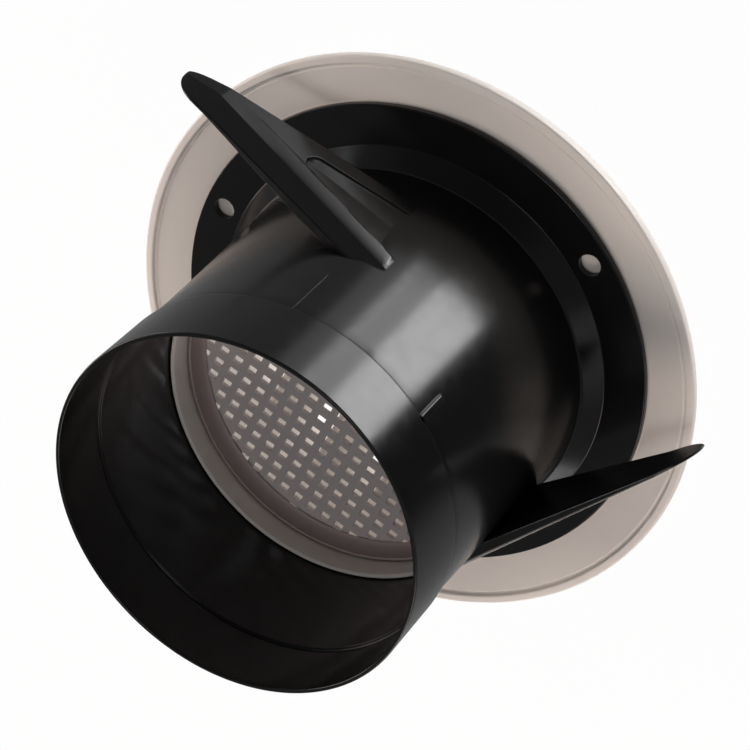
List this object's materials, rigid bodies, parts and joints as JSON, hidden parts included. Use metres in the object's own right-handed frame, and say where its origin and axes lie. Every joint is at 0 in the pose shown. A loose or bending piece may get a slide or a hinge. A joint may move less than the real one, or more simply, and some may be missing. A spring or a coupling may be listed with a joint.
{
  "type": "duct vent",
  "caption": "Round panel vent with a louvred white face, an insect screen behind it and a black duct spigot that spring wings hold in the panel.",
  "frame": {"origin": "on the duct axis, in the plane of the rim's back, which seats on the panel", "axes": "+Z along the duct axis from the white face to the spigot's mouth, +X along the louvre blades"},
  "size_m": [0.1709, 0.1612, 0.1],
  "materials": {
    "black_plastic": "semi-gloss moulded black",
    "white_plastic": "satin moulded warm white",
    "screen_plastic": "satin moulded off-white"
  },
  "bodies": {
    "vent": {"throat": "black_plastic", "face_plate": "white_plastic", "fly_screen": "screen_plastic", "screen_ring": "white_plastic", "louvre_1": "white_plastic", "louvre_2": "white_plastic", "louvre_3": "white_plastic", "louvre_4": "white_plastic", "louvre_5": "white_plastic"},
    "wing_1_leaf": {"wing_1": "black_plastic"},
    "wing_2_leaf": {"wing_2": "black_plastic"},
    "wing_3_leaf": {"wing_3": "black_plastic"}
  },
  "joints": [
    {"name": "wing_1_fold", "type": "hinge", "parent": "vent", "child": "wing_1_leaf", "pos_m": [0.04886, 0.03092, 0.028], "axis": [0, 0, 1], "range_deg": [0, 30], "stiffness_Nm_per_rad": 0.25},
    {"name": "wing_2_fold", "type": "hinge", "parent": "vent", "child": "wing_2_leaf", "pos_m": [-0.05121, 0.02686, 0.028], "axis": [0, 0, 1], "range_deg": [0, 30], "stiffness_Nm_per_rad": 0.25},
    {"name": "wing_3_fold", "type": "hinge", "parent": "vent", "child": "wing_3_leaf", "pos_m": [0.00235, -0.05777, 0.028], "axis": [0, 0, 1], "range_deg": [0, 30], "stiffness_Nm_per_rad": 0.25}
  ]
}
